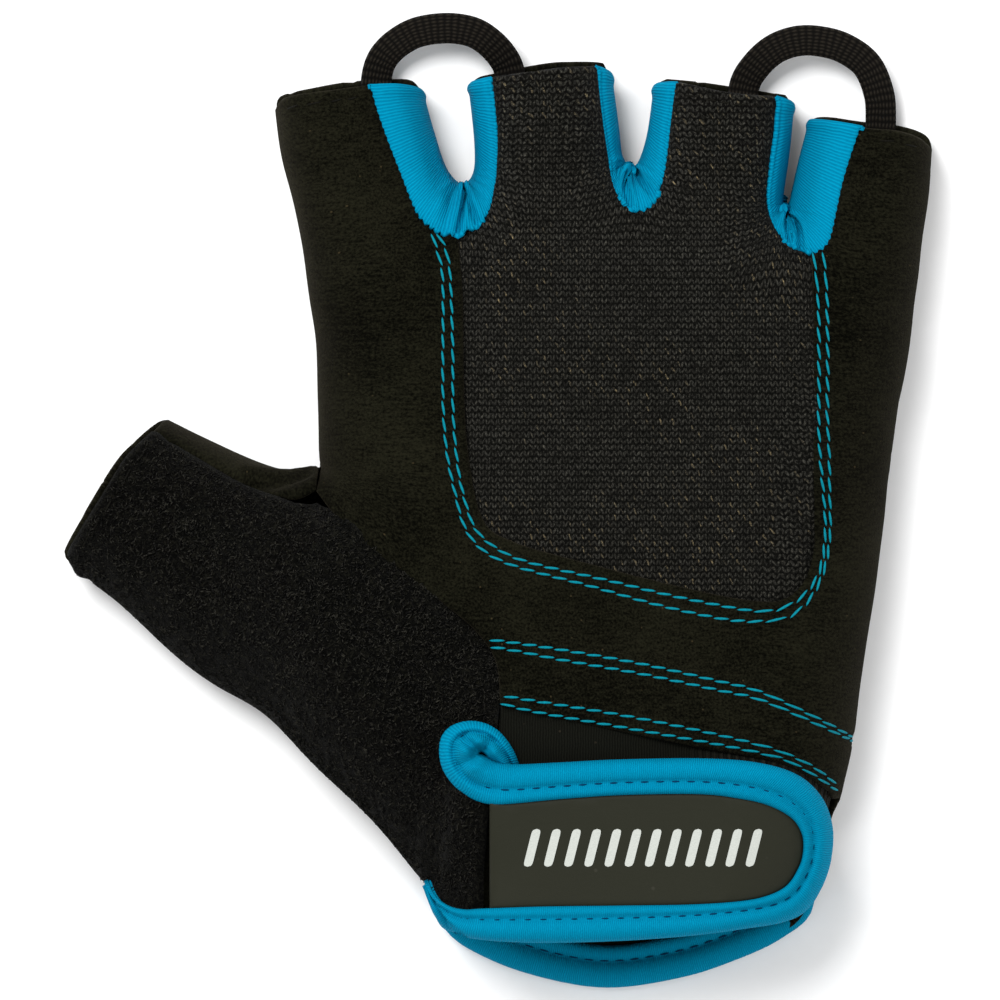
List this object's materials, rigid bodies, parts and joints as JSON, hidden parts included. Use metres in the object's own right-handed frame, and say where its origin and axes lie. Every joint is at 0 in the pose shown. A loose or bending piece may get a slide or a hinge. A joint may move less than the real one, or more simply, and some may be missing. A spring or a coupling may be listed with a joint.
{
  "type": "weightlifting glove",
  "caption": "Half-finger weightlifting glove: suede body, knit back, stretch strips between the fingers, pull loops and a wrist strap.",
  "frame": {"origin": "under the middle of the glove's box, on the plane that its palm lies on", "axes": "+Z from the palm to the back of the hand, +Y to the fingertips, +X to the little finger"},
  "size_m": [0.1478, 0.1658, 0.0325],
  "materials": {
    "suede": "black-brown suede with a fine nap",
    "knit": "black open knit",
    "lycra": "bright blue ribbed stretch cloth",
    "terry": "black terry loops",
    "elastic": "black ribbed elastic",
    "rubber": "matte grey moulded rubber",
    "webbing": "black woven webbing"
  },
  "bodies": {
    "root": {"back_suede": "suede", "thumb_suede": "suede", "palm_suede": "suede", "back_mesh": "knit", "fourchette_index_middle": "lycra", "fourchette_middle_ring": "lycra", "fourchette_ring_little": "lycra", "strap_binding": "lycra", "cuff_binding": "lycra", "thumb_terry": "terry", "strap": "terry", "cuff_elastic": "elastic", "strap_patch": "rubber", "pull_loop_index_middle": "webbing", "pull_loop_ring_little": "webbing"}
  },
  "joints": []
}
